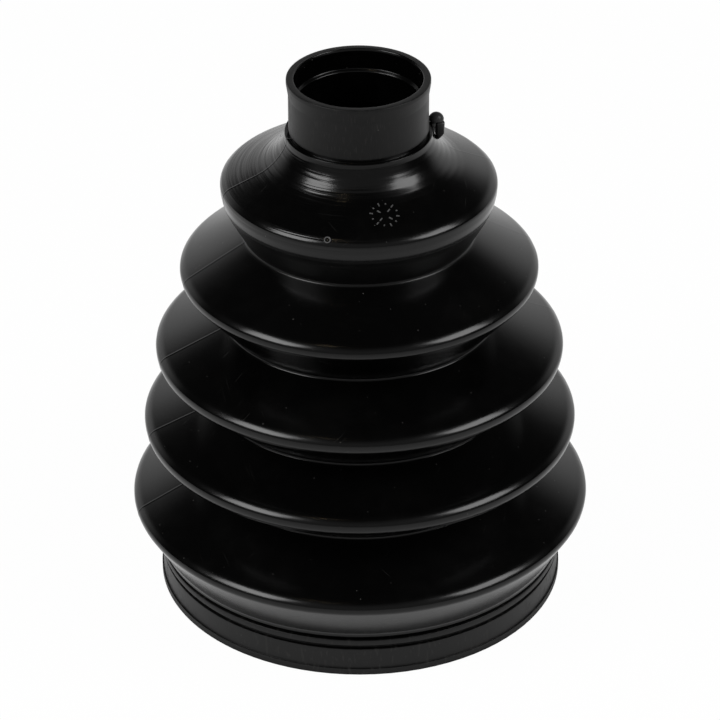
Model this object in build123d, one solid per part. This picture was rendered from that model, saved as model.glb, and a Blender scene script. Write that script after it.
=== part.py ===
from build123d import *
from math import acos, atan2, cos, hypot, pi, sin, sqrt
import os

os.makedirs("parts", exist_ok=True)

# A bellows boot for a drive shaft, moulded in one piece. Millimetres, +Z up, standing on its wide end.
# The origin is the centre of the ring it stands on; the shaft's axis is Z.

# ---- the skin -------------------------------------------------------------------------------------
wall = 1.3                  # thickness of the folded skin
root_radius = 2.6           # outer rounding at the bottom of a valley
nose_band = 0.15            # short upright stretch at the tip of a fold

# ---- the wide collar, clamped over the joint housing ----------------------------------------------
large_bore_radius = 41.7
large_collar_wall = 1.95    # from the bore out to the seat of the wide clamp band
foot_rim_height = 1.55
foot_rim_overhang = 0.35
band_seat_width = 4.85
groove_width = 1.15
groove_depth = 0.85
guard_rib_width = 1.35
guard_rib_overhang = 0.3
collar_shoulder_overhang = 0.55
skirt_sweep_radius = 3.0
seal_groove_depth = 0.5
seal_groove_width = 1.2     # at the bore; the sides lean in to a flat bottom half as wide
edge_radius = 0.3

# ---- the five folds, widest first -----------------------------------------------------------------
# climb to the tip, tip radius, rounding inside the upper and inside the lower half of the tip,
# climb to the root above, and how far that root lies inside the next tip
FOLDS = (
    (10.2, 49.7, 0.4, 0.55, 9.2, 11.4),
    (9.65, 46.7, 0.6, 1.5, 7.6, 10.6),
    (10.25, 43.7, 0.7, 1.6, 8.35, 8.25),
    (10.4, 38.0, 0.8, 0.9, 9.45, 3.7),
    (9.8, 29.0, 2.1, 5.2, None, None),
)

# ---- the narrow collar, clamped on the shaft ------------------------------------------------------
neck_flank = 4.572          # straight stretch between the last tip's rounding and the sweep
neck_sweep_radius = 12.0
neck_lean = 21.4            # degrees off the horizontal where the sweep meets the foot
small_bore_radius = 12.55
small_collar_wall = 2.1     # from the bore out to the seat of the narrow clamp band
foot_ridge_overhang = 0.85
foot_ridge_height = 1.2
undercut_height = 0.6
undercut_depth = 0.2
small_seat_width = 8.1
lip_taper_height = 2.6
lip_overhang = 0.4
lip_height = 0.9
mouth_chamfer = 0.95
mouth_land = 3.7            # from the chamfer down to the seat ledge
ledge_recess = 0.35
ledge_height = 0.5

# ---- the split nib left on the parting line -------------------------------------------------------
parting_angle = 13.8        # degrees from +X towards +Y
nib_stand_off = 2.1         # from the clamp seat out to the nib's own axis
nib_radius = 1.75
nib_slot = 0.45
nib_tongue_drop = 4.3
nib_stem_thickness = 1.3
nib_bite = 1.0              # how deep the stem is rooted in the collar's wall


def at(r, z):
    """A point of the half-section."""
    return (r, 0, z)


def tangent_angles(circles):
    """Outward normals of the straight flanks that join the circles one after the other.

    Each circle is (r, z, s): s is its radius, positive where the skin wraps outside it
    (a tip) and negative where the skin passes inside it (a root).
    """
    angles = []
    for (r1, z1, s1), (r2, z2, s2) in zip(circles[:-1], circles[1:]):
        run = hypot(r2 - r1, z2 - z1)
        angles.append(atan2(z2 - z1, r2 - r1) - acos((s1 - s2) / run))
    return angles


def wrapped(circles, shift, first_angle=None, last_angle=None):
    """The skin's line round all the circles, moved inwards by shift, as pieces for an outline."""
    angles = tangent_angles(circles)
    starts = [first_angle] + angles
    ends = angles + [last_angle]
    pieces = []
    here = None
    for (r, z, s), a, b in zip(circles, starts, ends):
        reach = s - shift

        def on(angle):
            return (r + reach * cos(angle), z + reach * sin(angle))

        a = b if a is None else a
        b = a if b is None else b
        if here is not None:
            pieces.append((here, on(a)))
        turn = (b - a + pi) % (2 * pi) - pi
        if abs(turn) > 1e-6 and abs(reach) > 1e-6:
            pieces.append((on(a), on(a + turn / 2), on(b)))
        here = on(b)
    return pieces


def as_edges(pieces):
    edges = []
    for piece in pieces:
        if hypot(piece[0][0] - piece[-1][0], piece[0][1] - piece[-1][1]) < 1e-6:
            continue
        if len(piece) == 2:
            edges.append(Line(at(*piece[0]), at(*piece[1])))
        else:
            edges.append(ThreePointArc(at(*piece[0]), at(*piece[1]), at(*piece[2])))
    return edges


def polyline(points):
    return list(zip(points[:-1], points[1:]))


# ---- heights and circles of the folds -------------------------------------------------------------
large_seat_radius = large_bore_radius + large_collar_wall
small_seat_radius = small_bore_radius + small_collar_wall
rim_top = foot_rim_height
band_top = rim_top + band_seat_width
low_groove_top = band_top + groove_width
rib_top = low_groove_top + guard_rib_width
shoulder_z = rib_top + groove_width
shoulder_radius = large_seat_radius + collar_shoulder_overhang

fold_circles = [(shoulder_radius + skirt_sweep_radius, shoulder_z + 0.2 * skirt_sweep_radius,
                 -skirt_sweep_radius)]
level = shoulder_z
for index, (climb, tip, upper_rounding, lower_rounding, root_climb, root_depth) in enumerate(FOLDS):
    level += climb
    upper_nose = wall + upper_rounding
    lower_nose = wall + lower_rounding
    fold_circles.append((tip - lower_nose, level - nose_band, lower_nose))
    fold_circles.append((tip - upper_nose, level, upper_nose))
    if root_climb is not None:
        level += root_climb
        next_tip = FOLDS[index + 1][1]
        fold_circles.append((next_tip - root_depth + root_radius, level, -root_radius))

# ---- heights of the narrow collar -----------------------------------------------------------------
foot_radius = small_seat_radius + foot_ridge_overhang
lean = neck_lean * pi / 180
last_r, last_z, last_nose = fold_circles[-1]
sweep_r = foot_radius + neck_sweep_radius * cos(lean)
sweep_z = last_z + sqrt((neck_sweep_radius + last_nose) ** 2 + neck_flank ** 2 - (sweep_r - last_r) ** 2)
neck_circle = (sweep_r, sweep_z, -neck_sweep_radius)
neck_top = sweep_z - neck_sweep_radius * sin(lean)
ridge_top = neck_top + foot_ridge_height
undercut_top = ridge_top + undercut_height
seat_top = undercut_top + small_seat_width
taper_top = seat_top + lip_taper_height
top = taper_top + lip_height
lip_radius = small_seat_radius + lip_overhang

# ---- outer line, from the ring it stands on up to the mouth ---------------------------------------
foot_radius_large = large_seat_radius + foot_rim_overhang
groove_radius = large_seat_radius - groove_depth
rib_radius = large_seat_radius + guard_rib_overhang
outer = polyline([
    (foot_radius_large, 0),
    (foot_radius_large, rim_top),
    (large_seat_radius, rim_top),
    (large_seat_radius, band_top),
    (groove_radius, band_top),
    (groove_radius, low_groove_top),
    (rib_radius, low_groove_top),
    (rib_radius, rib_top),
    (groove_radius, rib_top),
    (groove_radius, shoulder_z),
    (shoulder_radius, shoulder_z),
])
shoulder_point = (shoulder_radius, shoulder_z, 0)
outer += wrapped([shoulder_point] + fold_circles + [neck_circle], 0, last_angle=lean)
neck_foot = outer[-1][-1]
outer += polyline([
    neck_foot,
    (foot_radius, ridge_top),
    (small_seat_radius - undercut_depth, ridge_top),
    (small_seat_radius - undercut_depth, undercut_top),
    (small_seat_radius, undercut_top),
    (small_seat_radius, seat_top),
    (lip_radius, taper_top),
    (lip_radius, top),
    (small_bore_radius + mouth_chamfer, top),
])

# ---- inner line, from the wide mouth up to the narrow one -----------------------------------------
inner_shoulder = shoulder_radius - wall
bore_top = shoulder_z - (inner_shoulder - large_bore_radius)
inner = polyline([(large_bore_radius + 2 * edge_radius, 0), (large_bore_radius, 2 * edge_radius)])
for groove in (rim_top + band_seat_width * 0.3, rim_top + band_seat_width * 0.9):
    inner += polyline([
        inner[-1][-1],
        (large_bore_radius, groove - seal_groove_width / 2),
        (large_bore_radius + seal_groove_depth, groove - seal_groove_width / 4),
        (large_bore_radius + seal_groove_depth, groove + seal_groove_width / 4),
        (large_bore_radius, groove + seal_groove_width / 2),
    ])
inner += polyline([inner[-1][-1], (large_bore_radius, bore_top), (inner_shoulder, shoulder_z)])
ledge_top = top - mouth_chamfer * 0.9 - mouth_land
bore_foot = (small_bore_radius, ridge_top, wall)
inner += wrapped([shoulder_point] + fold_circles + [neck_circle, bore_foot], wall)
inner += polyline([
    inner[-1][-1],
    (small_bore_radius, ledge_top - ledge_height),
    (small_bore_radius + ledge_recess, ledge_top),
    (small_bore_radius, top - mouth_chamfer * 0.9),
    (small_bore_radius + mouth_chamfer, top),
])

bottom = [(outer[0][0], inner[0][0])]
loop = as_edges(outer) + as_edges(inner) + as_edges(bottom)
half_section = Face(Wire(loop))
boot = revolve(half_section, Axis.Z, 360)

# ---- the crisp moulded corners take a small rounding ----------------------------------------------
corners = [(lip_radius, top), (foot_radius_large, 0)]
rim_edges = [edge for edge in boot.edges().filter_by(GeomType.CIRCLE)
             for radius, height in corners
             if abs(edge.radius - radius) < 1e-3 and abs(edge.center().Z - height) < 1e-3]
boot = fillet(rim_edges, edge_radius)


# ---- the nib: a split button standing off the collar's foot ---------------------------------------
def split_nib():
    axis = small_seat_radius + nib_stand_off
    split = ridge_top
    upper_half = Pos(axis, 0, split + nib_radius) * Box(4 * nib_radius, 4 * nib_radius, 2 * nib_radius)
    dome = (Pos(axis, 0, split) * Sphere(nib_radius)) & upper_half
    waist = Pos(axis, 0, split - nib_slot / 2) * Cylinder(0.6 * nib_radius, 2 * nib_slot)
    tongue_top = split - nib_slot
    tongue = Pos(axis, 0, tongue_top - nib_tongue_drop / 2) * Rot(180, 0, 0) * Cone(
        nib_radius, 0.25 * nib_radius, nib_tongue_drop)
    stem_in = small_seat_radius - nib_bite
    stem_foot = neck_top - 0.35 * nib_tongue_drop
    stem = Pos((stem_in + axis) / 2, 0, (split + stem_foot) / 2) * Box(
        axis - stem_in, nib_stem_thickness, split - stem_foot)
    return dome + waist + tongue + stem


nib = Rot(0, 0, parting_angle) * split_nib()
boot = boot + nib

export_step(boot, "parts/bellows_boot.step")
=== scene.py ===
import bpy
from math import acos, atan2, ceil, cos, hypot, pi, radians, sin, tan
from mathutils import Matrix, Vector


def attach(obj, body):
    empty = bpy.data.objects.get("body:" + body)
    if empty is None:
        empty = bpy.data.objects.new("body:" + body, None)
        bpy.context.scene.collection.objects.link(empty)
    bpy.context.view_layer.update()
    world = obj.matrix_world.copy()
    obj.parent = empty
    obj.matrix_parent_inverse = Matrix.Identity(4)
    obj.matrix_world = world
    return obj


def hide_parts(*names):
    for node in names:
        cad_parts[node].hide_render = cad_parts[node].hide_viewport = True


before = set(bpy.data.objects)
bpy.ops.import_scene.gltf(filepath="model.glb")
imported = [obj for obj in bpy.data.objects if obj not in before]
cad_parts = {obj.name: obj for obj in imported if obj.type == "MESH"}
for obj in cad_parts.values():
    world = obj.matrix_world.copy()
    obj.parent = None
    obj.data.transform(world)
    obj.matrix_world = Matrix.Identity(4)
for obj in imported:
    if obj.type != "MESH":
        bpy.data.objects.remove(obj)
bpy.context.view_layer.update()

# ==== The boot's skin ================================================================================
# One hollow moulding of soft black rubber: a wide clamped collar, five deep folds that narrow upwards,
# and a narrow collar for the shaft. It is turned from a half-section in millimetres that follows the
# solid, with crisper tips, tighter roots and the small roundings that a mould leaves on every corner.

MM = 0.001
wall = 1.3
root_radius = 0.55
nose_band = 0.15
large_bore_radius, large_seat_radius = 41.7, 43.65
foot_rim_height, foot_rim_overhang = 1.55, 0.35
band_seat_width = 4.85
groove_width, groove_depth = 1.15, 0.85
guard_rib_width, guard_rib_overhang = 1.35, 0.3
shoulder_overhang, skirt_sweep_radius = 0.55, 1.3
seal_groove_depth, seal_groove_width = 0.5, 1.2

# climb to the tip, tip radius, broad rounding of the tip's shoulder, rounding inside its lower half,
# climb to the root above, and how far that root lies inside the next tip
folds = (
    (10.2, 49.65, 3.2, 0.55, 8.72, 11.9),
    (10.23, 46.7, 3.2, 1.5, 6.94, 11.1),
    (10.91, 43.75, 3.4, 1.6, 7.76, 8.75),
    (10.99, 38.1, 3.6, 0.9, 8.97, 4.45),
    (10.98, 29.15, 3.5, 9.2, None, None),
)
edge_radius, edge_turn = 1.2, radians(34)
easing_slack = 1.01

neck_top, neck_sweep_radius, neck_lean = 106.6, 12.0, radians(21.4)
small_bore_radius, small_seat_radius = 12.55, 14.65
foot_ridge_overhang, foot_ridge_height = 0.85, 1.2
undercut_height, undercut_depth = 0.6, 0.35
small_seat_width = 8.1
lip_taper_height, lip_overhang, lip_height = 2.6, 0.4, 0.9
mouth_chamfer, mouth_rounding, mouth_land = 0.95, 0.5, 4.0
ledge_recess, ledge_height = 0.6, 0.5
parting_angle = radians(13.8)


def skin_line(circles, inset, last_angle=None):
    """Points of the skin wrapped round the circles (r, z, s), moved inwards by inset.

    A circle's s is its radius, positive at a tip and negative at a root.
    """
    flanks = [atan2(z2 - z1, r2 - r1) - acos((s1 - s2) / hypot(r2 - r1, z2 - z1))
              for (r1, z1, s1), (r2, z2, s2) in zip(circles[:-1], circles[1:])]
    starts = [flanks[0]] + flanks
    ends = flanks + [flanks[-1] if last_angle is None else last_angle]
    points = []
    for (r, z, s), start, end in zip(circles, starts, ends):
        reach = s - inset
        turn = (end - start + pi) % (2 * pi) - pi
        steps = max(1, ceil(abs(turn) / radians(9 if abs(reach) > 1.0 else 20)))
        if abs(reach) < 1e-6 or abs(turn) < 1e-6:
            steps = 0
        for step in range(steps + 1):
            angle = start + turn * step / max(steps, 1)
            points.append((r + reach * cos(angle), z + reach * sin(angle), 0.0))
    return points


def softened(corners, hold=0.35, long_run=1.3):
    """The closed outline as (point, corner number), with each corner (r, z, rounding) rounded.

    Long straight runs get a point near either end and a few between.
    """
    line = []
    count = len(corners)
    for index, (r, z, rounding) in enumerate(corners):
        here = Vector((r, z))
        if rounding == 0:
            line.append((here, index))
            continue
        to_last = Vector(corners[index - 1][:2]) - here
        to_next = Vector(corners[(index + 1) % count][:2]) - here
        half_opening = to_last.angle(to_next) / 2
        cut = min(rounding / tan(half_opening), 0.45 * to_last.length, 0.45 * to_next.length)
        first = here + to_last.normalized() * cut
        last = here + to_next.normalized() * cut
        for step in range(5):
            t = step / 4
            line.append((first * (1 - t) ** 2 + here * 2 * t * (1 - t) + last * t ** 2, index))
    held = []
    for (this, index), (following, _) in zip(line, line[1:] + line[:1]):
        held.append((this, index))
        run = following - this
        if run.length > long_run:
            pieces = ceil(run.length / 4.5)
            ends = run.normalized() * hold
            between = [this + run * k / pieces for k in range(1, pieces)]
            held.extend((point, index) for point in [this + ends] + between + [following - ends])
    return held


rim_top = foot_rim_height
band_top = rim_top + band_seat_width
low_groove_top = band_top + groove_width
rib_top = low_groove_top + guard_rib_width
shoulder_z = rib_top + groove_width
shoulder_radius = large_seat_radius + shoulder_overhang
groove_radius = large_seat_radius - groove_depth
rib_radius = large_seat_radius + guard_rib_overhang
foot_radius = large_seat_radius + foot_rim_overhang

circles = [(shoulder_radius, shoulder_z, 0),
           (shoulder_radius + skirt_sweep_radius, shoulder_z + 0.2 * skirt_sweep_radius,
            -skirt_sweep_radius)]
tips = []
level = shoulder_z
for index, (climb, tip, shoulder_rounding, lower_rounding, root_climb, root_depth) in enumerate(folds):
    level += climb
    lower_nose = wall + lower_rounding
    eased = easing_slack * (shoulder_rounding - edge_radius)
    circles.append((tip - lower_nose, level - nose_band, lower_nose))
    circles.append((tip - edge_radius, level, edge_radius))
    circles.append((tip - edge_radius - eased * cos(edge_turn), level - eased * sin(edge_turn),
                    shoulder_rounding))
    tips.append((tip, level))
    if root_climb is not None:
        level += root_climb
        circles.append((folds[index + 1][1] - root_depth + root_radius, level, -root_radius))

neck_foot_radius = small_seat_radius + foot_ridge_overhang
neck_centre = (neck_foot_radius + neck_sweep_radius * cos(neck_lean),
               neck_top + neck_sweep_radius * sin(neck_lean))
neck_circle = (neck_centre[0], neck_centre[1], -neck_sweep_radius)
ridge_top = neck_top + foot_ridge_height
undercut_top = ridge_top + undercut_height
seat_top = undercut_top + small_seat_width
taper_top = seat_top + lip_taper_height
top = taper_top + lip_height
lip_radius = small_seat_radius + lip_overhang
mouth_foot = top - mouth_rounding
ledge_top = mouth_foot - mouth_land

outside = [
    (foot_radius, 0, 0.25), (foot_radius, rim_top, 0.12), (large_seat_radius, rim_top, 0.1),
    (large_seat_radius, band_top, 0.12), (groove_radius, band_top, 0.15),
    (groove_radius, low_groove_top, 0.15), (rib_radius, low_groove_top, 0.25),
    (rib_radius, rib_top, 0.25), (groove_radius, rib_top, 0.15), (groove_radius, shoulder_z, 0.15),
    (shoulder_radius, shoulder_z, 0.12),
]
outside += skin_line(circles + [neck_circle], 0, neck_lean)[1:]
outside += [
    (neck_foot_radius, ridge_top, 0.2), (small_seat_radius - undercut_depth, ridge_top - 0.25, 0.08),
    (small_seat_radius - undercut_depth, undercut_top, 0.08), (small_seat_radius, undercut_top, 0.12),
    (small_seat_radius, seat_top, 1.2), (lip_radius, taper_top, 0.5), (lip_radius, top, 0.28),
    (small_bore_radius + mouth_chamfer, top, 0.3),
]

inside = [(large_bore_radius + 0.6, 0, 0.2), (large_bore_radius, 0.6, 0.2)]
for groove in (rim_top + 0.3 * band_seat_width, rim_top + 0.9 * band_seat_width):
    inside += [
        (large_bore_radius, groove - seal_groove_width / 2, 0.1),
        (large_bore_radius + seal_groove_depth, groove - seal_groove_width / 4, 0.1),
        (large_bore_radius + seal_groove_depth, groove + seal_groove_width / 4, 0.1),
        (large_bore_radius, groove + seal_groove_width / 2, 0.1),
    ]
inner_shoulder = shoulder_radius - wall
inside.append((large_bore_radius, shoulder_z - (inner_shoulder - large_bore_radius), 0.2))
# a rounding smaller than the wall has no room inside it, so the inner line passes it by
hollow = [circle for circle in circles if not 0 < circle[2] < wall]
inside += skin_line(hollow + [neck_circle, (small_bore_radius, ridge_top, wall)], wall)
inside += [
    (small_bore_radius, ledge_top - ledge_height, 0.3), (small_bore_radius + ledge_recess, ledge_top, 0.2),
    (small_bore_radius + mouth_chamfer - 0.2, mouth_foot, 0.4),
]

half_section = softened(outside + inside[::-1])
path_radius = 30.0
tip_reach = 3.5
outline = bpy.data.meshes.new("boot_half_section")
outline.from_pydata([((r - path_radius) * MM, -z * MM, 0) for (r, z), _ in half_section],
                    [(k, (k + 1) % len(half_section)) for k in range(len(half_section))], [])
is_outside = outline.attributes.new("outside", "FLOAT", "POINT")
at_tip = outline.attributes.new("tip", "FLOAT", "POINT")
for k, ((r, z), corner) in enumerate(half_section):
    is_outside.data[k].value = float(corner < len(outside) and 0.3 < z < top - 0.5)
    nearest_tip = min(hypot(r - tip, z - height) for tip, height in tips)
    at_tip.data[k].value = max(0.0, 1 - nearest_tip / tip_reach)
boot = bpy.data.objects.new("rubber_boot", outline)
bpy.context.scene.collection.objects.link(boot)


class Socket:
    """A socket of a node tree. Arithmetic on it adds Math nodes."""

    def __init__(self, maker, socket):
        self.maker = maker
        self.socket = socket

    def math(self, operation, first, second=0.0):
        return self.maker.node("ShaderNodeMath", {"operation": operation}, {0: first, 1: second})

    def other(self, name):
        """Another output of the same node."""
        return Socket(self.maker, self.socket.node.outputs[name])

    def __add__(self, other):
        return self.math("ADD", self, other)

    def __radd__(self, other):
        return self.math("ADD", other, self)

    def __sub__(self, other):
        return self.math("SUBTRACT", self, other)

    def __rsub__(self, other):
        return self.math("SUBTRACT", other, self)

    def __mul__(self, other):
        return self.math("MULTIPLY", self, other)

    def __rmul__(self, other):
        return self.math("MULTIPLY", other, self)

    def __truediv__(self, other):
        return self.math("DIVIDE", self, other)

    def __rtruediv__(self, other):
        return self.math("DIVIDE", other, self)

    def __pow__(self, other):
        return self.math("POWER", self, other)

    def __neg__(self):
        return self.math("MULTIPLY", self, -1.0)

    def clamped(self):
        return self.maker.node("ShaderNodeClamp", {}, {"Value": self})


class Maker:
    """Adds nodes to one tree: a type, its settings, and the values or links of its sockets."""

    def __init__(self, tree):
        self.tree = tree

    def node(self, kind, settings=None, inputs=None, output=0):
        made = self.tree.nodes.new(kind)
        for name, value in (settings or {}).items():
            if name == "stops":
                for stop, (place, colour) in zip(made.color_ramp.elements, value):
                    stop.position, stop.color = place, colour
                for place, colour in value[2:]:
                    made.color_ramp.elements.new(place).color = colour
            else:
                setattr(made, name, value)
        for name, value in (inputs or {}).items():
            if isinstance(value, Socket):
                self.tree.links.new(value.socket, made.inputs[name])
            else:
                made.inputs[name].default_value = value
        return None if output is None else Socket(self, made.outputs[output])


class Recipe(Maker):
    """A Geometry Nodes tree with named inputs, and the modifier that runs it on one object."""

    def __init__(self, name, inputs):
        super().__init__(bpy.data.node_groups.new(name, "GeometryNodeTree"))
        self.tree.interface.new_socket("Geometry", in_out="INPUT", socket_type="NodeSocketGeometry")
        self.tree.interface.new_socket("Geometry", in_out="OUTPUT", socket_type="NodeSocketGeometry")
        self.values = {}
        for label, (kind, value) in inputs.items():
            added = self.tree.interface.new_socket(label, in_out="INPUT", socket_type="NodeSocket" + kind)
            self.values[added.identifier] = value
        self.given = self.node("NodeGroupInput")

    def finish(self, geometry, material):
        realized = self.node("GeometryNodeRealizeInstances", {}, {"Geometry": geometry})
        coated = self.node("GeometryNodeSetMaterial", {}, {"Geometry": realized, "Material": material})
        end = self.tree.nodes.new("NodeGroupOutput")
        self.tree.links.new(coated.socket, end.inputs[0])

    def made_mesh(self, carrier, name):
        """Runs the tree on the carrier and leaves it with the plain mesh that came out."""
        modifier = carrier.modifiers.new(name, "NODES")
        modifier.node_group = self.tree
        for identifier, value in self.values.items():
            modifier[identifier] = value
        shaped = carrier.evaluated_get(bpy.context.evaluated_depsgraph_get())
        mesh = bpy.data.meshes.new_from_object(shaped)
        carrier.modifiers.remove(modifier)
        carrier.data = mesh
        mesh.name = name
        return carrier


collar_foot, collar_bore_side, skirt_foot = 0.1078, 0.0135, 0.0104
valley_foot, valley_head, valley_reach = 0.0840, 0.0945, 0.0289
top_fold_foot = 0.0935


def rubber_finish(name, shade):
    """Moulded black rubber, glossy on the folds and dull on both collars, with handling marks and dust."""
    material = bpy.data.materials.new(name)
    material.use_nodes = True
    material.node_tree.nodes.clear()
    make = Maker(material.node_tree)
    place = make.node("ShaderNodeTexCoord", output="Object")
    x = make.node("ShaderNodeSeparateXYZ", {}, {"Vector": place})
    y, z = x.other("Y"), x.other("Z")
    radius = (x * x + y * y) ** 0.5
    angle = x.math("ARCTAN2", x, -y)
    along = angle * radius

    def drift(scale, detail=2.0):
        return make.node("ShaderNodeTexNoise", {}, {"Vector": place, "Scale": scale, "Detail": detail})

    def streaks(a, b, c):
        vector = make.node("ShaderNodeCombineXYZ", {}, {"X": a, "Y": b, "Z": c})
        return make.node("ShaderNodeTexNoise", {}, {"Vector": vector, "Scale": 1.0, "Detail": 1.0})

    def above(value, start, gain):
        return ((value - start) * gain).clamped()

    # both collars are dull where the clamp bands bear on them, but not inside the mouth
    dull = above(z, collar_foot, 1600.0) * above(radius, collar_bore_side, 4000.0)
    dull = dull + above(skirt_foot - z, 0.0, 1600.0)
    # bloom: broad soft patches where the gloss has faded, and finer blotches in them
    bloom = drift(34.0, 3.0) * 0.6 + drift(240.0) * 0.4
    # flow: thin rings that run round the boot, strongest on the topmost fold's left side
    flow = streaks(radius * 1700.0, z * 1700.0, angle * 1.3)
    flow_share = 0.25 + above(z, top_fold_foot, 500.0) * (1.0 - dull) * above(-x, -0.014, 45.0) * 12.0
    # the deep valley under the topmost fold never gets handled and stays flat and dusty
    valley = above(z, valley_foot, 900.0) * above(valley_head - z, 0.0, 900.0)
    valley = valley * above(valley_reach - radius, 0.0, 900.0)
    # fine scratches: upright on the collars, slanting two ways on the folds
    upright = above(streaks(angle * 70.0, z * 420.0, radius * 60.0), 0.6, 9.0) * dull
    rising = above(streaks(along * 150.0 + z * 90.0, z * 5200.0 - along * 3100.0, 0.0), 0.71, 12.0)
    falling = above(streaks(along * 120.0 - z * 80.0, z * 4700.0 + along * 2300.0, 7.0), 0.72, 12.0)
    worn = above(drift(60.0, 1.0), 0.53, 8.0)
    scratch = (upright + (rising + falling) * worn * (1.0 - dull)).clamped()
    # dust: sparse pale specks
    specks = make.node("ShaderNodeTexVoronoi", {"feature": "F1"}, {"Vector": place, "Scale": 1250.0},
                       output="Distance")
    chance = make.node("ShaderNodeSeparateColor", {}, {"Color": specks.other("Color")}, output="Red")
    dust = above(chance, 0.965, 30.0) * above(0.17 - specks, 0.0, 12.0)

    roughness = 0.19 + dull * 0.26 + valley * 0.26 + (bloom - 0.5) * 0.12 + scratch * 0.15 + dust * 0.3
    colour = make.node("ShaderNodeMix", {"data_type": "RGBA"}, {
        0: (dust * 0.2 + scratch * 0.03 + dull * 0.001 + above(bloom, 0.5, 1.0) * 0.012).clamped(),
        6: (shade, shade, shade, 1.0), 7: (0.42, 0.41, 0.39, 1.0)}, output=2)
    height = flow * flow_share * 1.2 + drift(3000.0) * 0.12 - scratch * 0.5 + dust * 1.0
    relief = make.node("ShaderNodeBump", {}, {"Strength": 0.7, "Distance": 0.00001, "Height": height})
    surface = make.node("ShaderNodeBsdfPrincipled", {}, {
        "Base Color": colour, "Roughness": roughness, "IOR": 1.33, "Normal": relief})
    make.node("ShaderNodeOutputMaterial", {}, {"Surface": surface}, output=None)
    return material


skin_rubber = rubber_finish("black_rubber", 0.0007)

turned = Recipe("turned_half_section", {
    "Turns": ("Int", 164),
    "Path Radius": ("Float", path_radius * MM),
    "Parting Angle": ("Float", parting_angle),
    "Crowding": ("Float", 0.95),
    "Flash Height": ("Float", 0.05 * MM),
    "Flash Width": ("Float", 0.14 * MM),
    "Far Flash": ("Float", 0.4),
    "Tip Unevenness": ("Float", 0.10 * MM),
})
given = turned.given
section = turned.node("GeometryNodeMeshToCurve", {}, {"Mesh": given})
ring = turned.node("GeometryNodeCurvePrimitiveCircle", {}, {
    "Resolution": given.other("Turns"), "Radius": given.other("Path Radius")})
# the ring's points crowd towards the parting plane, so that the thin line of flash there has its own faces
spot = turned.node("ShaderNodeSeparateXYZ", {}, {"Vector": turned.node("GeometryNodeInputPosition")})
angle = spot.math("ARCTAN2", spot.other("Y"), spot)
from_plane = (angle - given.other("Parting Angle")) * 2.0
crowded = angle - spot.math("SINE", from_plane) * given.other("Crowding") * 0.5
ring_place = turned.node("ShaderNodeCombineXYZ", {}, {
    "X": spot.math("COSINE", crowded) * given.other("Path Radius"),
    "Y": spot.math("SINE", crowded) * given.other("Path Radius"), "Z": 0.0})
ring = turned.node("GeometryNodeSetPosition", {}, {"Geometry": ring, "Position": ring_place})
skin = turned.node("GeometryNodeCurveToMesh", {}, {"Curve": ring, "Profile Curve": section})
skin = turned.node("GeometryNodeFlipFaces", {}, {"Mesh": skin})
# the flash line and the slight unevenness of the fold tips, both raised along the surface's normal
outer = turned.node("GeometryNodeInputNamedAttribute", {"data_type": "FLOAT"}, {"Name": "outside"})
tip_share = turned.node("GeometryNodeInputNamedAttribute", {"data_type": "FLOAT"}, {"Name": "tip"})
there = turned.node("GeometryNodeInputPosition")
spot = turned.node("ShaderNodeSeparateXYZ", {}, {"Vector": there})
off_plane = (spot.other("Y") * spot.math("COSINE", given.other("Parting Angle"))
             - spot * spot.math("SINE", given.other("Parting Angle"))) / given.other("Flash Width")
far_side = spot.math("GREATER_THAN", spot, 0.0)
flash = spot.math("EXPONENT", -(off_plane * off_plane)) * given.other("Flash Height")
flash = flash * (1.0 - far_side * (1.0 - given.other("Far Flash")))
rough = turned.node("ShaderNodeTexNoise", {}, {"Vector": there, "Scale": 160.0, "Detail": 2.0})
raised = (flash + (rough - 0.58) * given.other("Tip Unevenness") * tip_share) * outer
offset = turned.node("ShaderNodeVectorMath", {"operation": "SCALE"}, {
    0: turned.node("GeometryNodeInputNormal"), "Scale": raised})
skin = turned.node("GeometryNodeSetPosition", {}, {"Geometry": skin, "Offset": offset})
skin = turned.node("GeometryNodeSetShadeSmooth", {}, {"Geometry": skin})
turned.finish(skin, skin_rubber)
turned.made_mesh(boot, "rubber_boot")

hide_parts("bellows_boot")
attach(boot, "root")

# ==== The split nib ==================================================================================
# A small button left where the rubber entered the mould: half a ball over a slot, a pointed tongue below
# it, and a post that ties both to the foot of the narrow collar. It is one with the skin.


def ringed(sections, sides=32):
    """Points and faces of a closed solid through sections (z, shift, out, across, power).

    Out and across are half-widths; a power below 1 squares the round section.
    """
    points = []
    for z, shift, out, across, power in sections:
        for k in range(sides):
            c, s = cos(2 * pi * k / sides), sin(2 * pi * k / sides)
            points.append((shift + out * abs(c) ** power * (1 if c > 0 else -1),
                           across * abs(s) ** power * (1 if s > 0 else -1), z))
    faces = [(k + row, (k + 1) % sides + row, (k + 1) % sides + row + sides, k + row + sides)
             for row in range(0, (len(sections) - 1) * sides, sides) for k in range(sides)]
    faces.append(tuple(range(sides))[::-1])
    faces.append(tuple(range((len(sections) - 1) * sides, len(sections) * sides)))
    return points, faces


def add_piece(name, shells, material, sharp=40):
    """Makes one mesh from shells of (points, faces), in millimetres, and ties it to the solid."""
    points, faces = [], []
    for more_points, more_faces in shells:
        faces.extend(tuple(k + len(points) for k in face) for face in more_faces)
        points.extend(Vector(point) * MM for point in more_points)
    mesh = bpy.data.meshes.new(name)
    mesh.from_pydata(points, [], faces)
    mesh.shade_smooth()
    mesh.set_sharp_from_angle(angle=radians(sharp))
    mesh.materials.append(material)
    piece = bpy.data.objects.new(name, mesh)
    bpy.context.scene.collection.objects.link(piece)
    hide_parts("bellows_boot")
    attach(piece, "root")
    return piece


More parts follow.
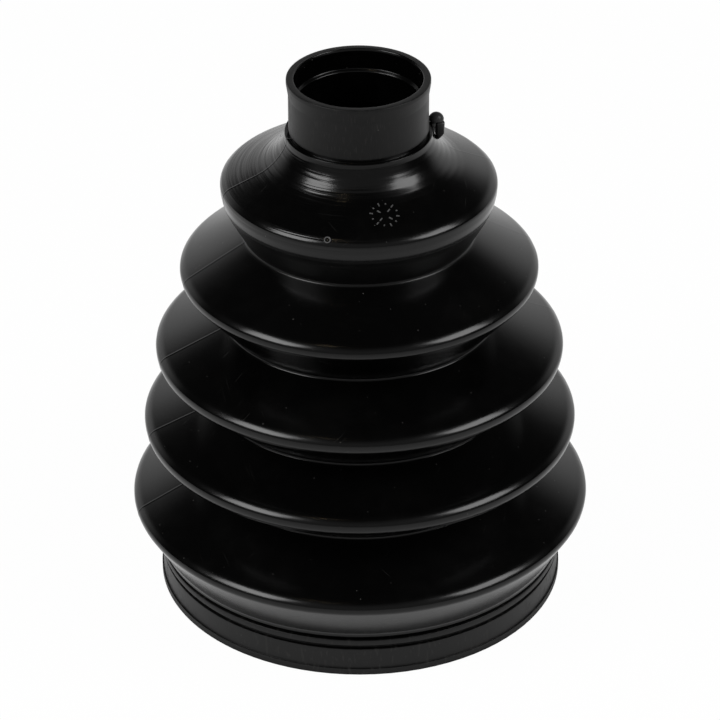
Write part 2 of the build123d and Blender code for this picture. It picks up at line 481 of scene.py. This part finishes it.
nib_axis = 16.7
ball = 1.62
dome = [(0.0, 0, ball - 0.12, ball - 0.12, 1)]
dome += [(0.1 + 0.95 * ball * sin(radians(a)), 0, ball * cos(radians(a)), ball * cos(radians(a)), 1)
         for a in range(0, 89, 8)]
tongue = [(-0.42, 0.68, 0.9, 1.0, 0.55), (-0.6, 0.7, 1.02, 1.15, 0.5), (-1.6, 0.7, 1.0, 1.12, 0.5),
          (-3.1, 0.68, 0.94, 1.0, 0.55), (-3.7, 0.66, 0.68, 0.72, 0.6), (-4.3, 0.6, 0.34, 0.36, 0.8),
          (-4.6, 0.56, 0.08, 0.08, 1)]
post = [(-4.1, -1.05, 0.55, 0.6, 0.8), (-1.35, -0.9, 0.55, 0.6, 0.8), (-1.15, -0.75, 0.75, 0.9, 0.8),
        (-0.45, -0.7, 0.75, 0.9, 0.8), (-0.4, -0.35, 0.85, 0.8, 0.9), (0.3, -0.3, 0.85, 0.8, 0.9)]
waist = [(-0.9, 0.2, 0.55, 0.5, 0.9), (0.2, 0.0, 0.6, 0.5, 0.9)]


def beside_collar(shell):
    """The shell, built about the nib's own axis, moved to its place on the parting plane."""
    points, faces = shell
    c, s = cos(parting_angle), sin(parting_angle)
    return [((nib_axis + x) * c - y * s, (nib_axis + x) * s + y * c, ridge_top + 0.3 + z)
            for x, y, z in points], faces


# the nib's rubber is paler than the skin: the paler colour is a painted reflection, the light grey its
# facets would mirror from the collar and the wall beside it
nib_rubber_painted_reflection = rubber_finish("nib_rubber_painted_reflection", 0.025)
add_piece("split_nib", [beside_collar(ringed(dome)), beside_collar(ringed(tongue[::-1])),
                        beside_collar(ringed(post)), beside_collar(ringed(waist))], nib_rubber_painted_reflection)

# ==== The moulded dial ===============================================================================
# A round of short raised strokes on the shoulder of the topmost fold, as a mould leaves where a small
# marked insert sat in it. The strokes say nothing. A faint ring beside them is a pin's print.

# the strokes and the pin's print get a paler rubber: the paler colour is a painted glint, the light their
# raised edges would catch
rubber_painted_glints = rubber_finish("rubber_painted_glints", 0.09)
shoulder_line = skin_line(circles[-3:] + [neck_circle], 0, neck_lean)
lengths = [0.0]
for this, following in zip(shoulder_line, shoulder_line[1:]):
    lengths.append(lengths[-1] + hypot(following[0] - this[0], following[1] - this[1]))
dial_radius, shoulder_slope, dial_drop = 22.5, 0.78, 1.0
slope_start = [k for k, (r, z, _) in enumerate(shoulder_line) if r > dial_radius and z > 95][-1]
still_to_go = shoulder_line[slope_start][0] - dial_radius
dial_start = lengths[slope_start] + hypot(still_to_go, shoulder_slope * still_to_go)


def on_shoulder(turn, across, up, lift):
    """The place across and up the slope from the dial's middle, raised off the skin by lift."""
    walked = min(max(dial_start + up - dial_drop, 0.0), lengths[-1] - 1e-6)
    k = max(k for k, length in enumerate(lengths[:-1]) if length <= walked)
    share = (walked - lengths[k]) / (lengths[k + 1] - lengths[k])
    (r1, z1, _), (r2, z2, _) = shoulder_line[k], shoulder_line[k + 1]
    slope = atan2(z2 - z1, r2 - r1)
    r = r1 + (r2 - r1) * share + lift * sin(slope)
    z = z1 + (z2 - z1) * share - lift * cos(slope)
    around = turn + across / r
    return (r * sin(around), -r * cos(around), z)


def stroke(turn, centre, direction, length, width=0.3, height=0.16):
    """A raised stroke with sloping sides, centred at (across, up) and drawn along direction."""
    c, s = cos(direction), sin(direction)
    points = []
    for lift, half_long, half_wide in ((-0.15, 0.5, 0.5), (0.0, 0.5, 0.5), (height, 0.42, 0.2)):
        for a, b in ((-1, -1), (1, -1), (1, 1), (-1, 1)):
            u, v = a * half_long * length, b * half_wide * width
            points.append(on_shoulder(turn, centre[0] + u * c - v * s, centre[1] + u * s + v * c, lift))
    faces = [(k + row, (k + 1) % 4 + row, (k + 1) % 4 + row + 4, k + row + 4)
             for row in (0, 4) for k in range(4)]
    return points, faces + [(3, 2, 1, 0), (8, 9, 10, 11)]


dial_turn = radians(13.5)
strokes = []
for hour in range(12):
    towards = radians(30 * hour + 15)
    centre = (2.75 * cos(towards), 2.75 * sin(towards))
    strokes.append(stroke(dial_turn, centre, towards, 0.75 if hour % 2 else 0.34))
for corner in range(4):
    towards = radians(45 + 90 * corner)
    centre = (1.45 * cos(towards), 1.45 * sin(towards))
    strokes.append(stroke(dial_turn, centre, towards, 0.85))
add_piece("moulded_dial", strokes, rubber_painted_glints, sharp=20)

# the pin's print, nearer the fold's edge than the dial
print_turn, print_radius, print_thickness, print_drop = radians(-13.2), 0.6, 0.13, 6.3
print_points = []
for k in range(28):
    towards = 2 * pi * k / 28
    for side in range(8):
        lean = 2 * pi * side / 8
        reach = print_radius + print_thickness * cos(lean)
        print_points.append(on_shoulder(print_turn, reach * cos(towards), reach * sin(towards) - print_drop,
                                        print_thickness * sin(lean)))
print_faces = [(8 * k + side, 8 * ((k + 1) % 28) + side, 8 * ((k + 1) % 28) + (side + 1) % 8,
                8 * k + (side + 1) % 8) for k in range(28) for side in range(8)]
add_piece("pin_print", [(print_points, print_faces)], rubber_painted_glints)

# ==== The studio =====================================================================================
# A pale floor that runs on for ever, a soft box either side in front and a small bare lamp. The rubber
# also mirrors a dim wall in front and a low pale one behind, under a dark ceiling.

floor_mesh = bpy.data.meshes.new("floor")
floor_mesh.from_pydata([(-6, -6, 0), (6, -6, 0), (6, 6, 0), (-6, 6, 0)], [], [(0, 1, 2, 3)])
floor = bpy.data.objects.new("floor", floor_mesh)
bpy.context.scene.collection.objects.link(floor)
paper = bpy.data.materials.new("white_paper")
paper.use_nodes = True
paper.node_tree.nodes.clear()
make = Maker(paper.node_tree)
seen = make.node("ShaderNodeLightPath", output="Is Camera Ray")
lit = make.node("ShaderNodeBsdfDiffuse", {}, {"Color": (0.86, 0.86, 0.86, 1)})
bright = make.node("ShaderNodeEmission", {}, {"Color": (1, 1, 1, 1), "Strength": 1.0})
spot = make.node("ShaderNodeSeparateXYZ", {}, {"Vector": make.node("ShaderNodeTexCoord", output="Object")})
radius = (spot * spot + spot.other("Y") * spot.other("Y")) ** 0.5
# as the rubber mirrors it, the floor is brighter near the boot and darker towards the front: a painted pool
# of light
painted_light_pool = make.node("ShaderNodeMapRange", {"interpolation_type": "SMOOTHSTEP"}, {
    "Value": spot.other("Y"), "From Min": -0.24, "From Max": -0.12})
# under the boot and at its foot the mirrored floor goes dark: a painted shadow
beyond_painted_foot_shadow = make.node("ShaderNodeMapRange", {}, {
    "Value": radius, "From Min": 0.0440, "From Max": 0.0458})
mirrored = (seen.other("Is Glossy Ray") + seen.other("Is Transmission Ray")).clamped()
share = seen * 0.98 + mirrored * painted_light_pool * beyond_painted_foot_shadow * 0.92
paper_look = make.node("ShaderNodeMixShader", {}, {0: share.clamped(), 1: lit, 2: bright})
end = paper.node_tree.nodes.new("ShaderNodeOutputMaterial")
paper.node_tree.links.new(paper_look.socket, end.inputs["Surface"])
floor_mesh.materials.append(paper)

world = bpy.data.worlds.new("studio")
world.use_nodes = True
world.node_tree.nodes.clear()
bpy.context.scene.world = world
make = Maker(world.node_tree)
direction = make.node("ShaderNodeTexCoord", output="Generated")
rise = make.node("ShaderNodeSeparateXYZ", {}, {"Vector": direction}, output="Z")
pale_wall = make.node("ShaderNodeValToRGB", {"stops": ((0.32, (1, 1, 1, 1)), (0.52, (0, 0, 0, 1)))},
                      {"Fac": rise})
wall_share = make.node("ShaderNodeRGBToBW", {}, {"Color": pale_wall})
seen = make.node("ShaderNodeLightPath", output="Is Camera Ray")
mirrored = (seen.other("Is Glossy Ray") + seen.other("Is Transmission Ray")).clamped()
behind = make.node("ShaderNodeMapRange", {"interpolation_type": "SMOOTHSTEP"}, {
    "Value": rise.other("Y"), "From Min": 0.3, "From Max": 0.7})
front = make.node("ShaderNodeMapRange", {"interpolation_type": "SMOOTHSTEP"}, {
    "Value": rise.other("Y"), "From Min": -0.1, "From Max": -0.5})
low = make.node("ShaderNodeMapRange", {"interpolation_type": "SMOOTHSTEP"}, {
    "Value": rise, "From Min": 0.95, "From Max": 0.7})
mirrored_walls = wall_share * behind * 0.85 + front * low * 0.34 + 0.03
strength = seen + (1.0 - seen) * (mirrored * mirrored_walls + (1.0 - mirrored) * 0.15)
sky = make.node("ShaderNodeBackground", {}, {"Color": (1, 1, 1, 1), "Strength": strength})
end = world.node_tree.nodes.new("ShaderNodeOutputWorld")
world.node_tree.links.new(sky.socket, end.inputs["Surface"])


def soft_box(name, azimuth, elevation, distance, width, height, power, colour=(1, 1, 1)):
    """A flat lamp that faces the boot. Azimuth is measured from the camera's side, to the right."""
    lamp = bpy.data.lights.new(name, "AREA")
    lamp.shape = "RECTANGLE"
    lamp.size, lamp.size_y = width, height
    lamp.energy = power
    lamp.color = colour
    holder = bpy.data.objects.new(name, lamp)
    azimuth, elevation = radians(azimuth), radians(elevation)
    away = Vector((sin(azimuth) * cos(elevation), -cos(azimuth) * cos(elevation), sin(elevation)))
    aim = Vector((0, 0, 0.07))
    holder.location = aim + away * distance
    holder.rotation_euler = away.to_track_quat("Z", "Y").to_euler()
    bpy.context.scene.collection.objects.link(holder)


soft_box("left_soft_box", -62, 42, 1.1, 0.56, 0.40, 7.4)
soft_box("right_soft_box", 72, 40, 1.1, 0.56, 0.40, 6.2)
soft_box("bare_lamp", -36, 68, 1.1, 0.014, 0.014, 0.10, (1.0, 0.8, 0.5))

camera_data = bpy.data.cameras.new("camera")
camera_data.sensor_width = 36.0
camera_data.lens = 191.5
camera_data.shift_x = 0.00057
camera_data.clip_end = 50.0
camera = bpy.data.objects.new("camera", camera_data)
camera.location = (0, -0.707, 0.4796)
camera.rotation_euler = (Matrix.Rotation(radians(90 - 31.178), 3, "X")
                         @ Matrix.Rotation(radians(-0.235), 3, "Z")).to_euler()
bpy.context.scene.collection.objects.link(camera)
bpy.context.scene.camera = camera
bpy.context.scene.view_settings.view_transform = "Standard"
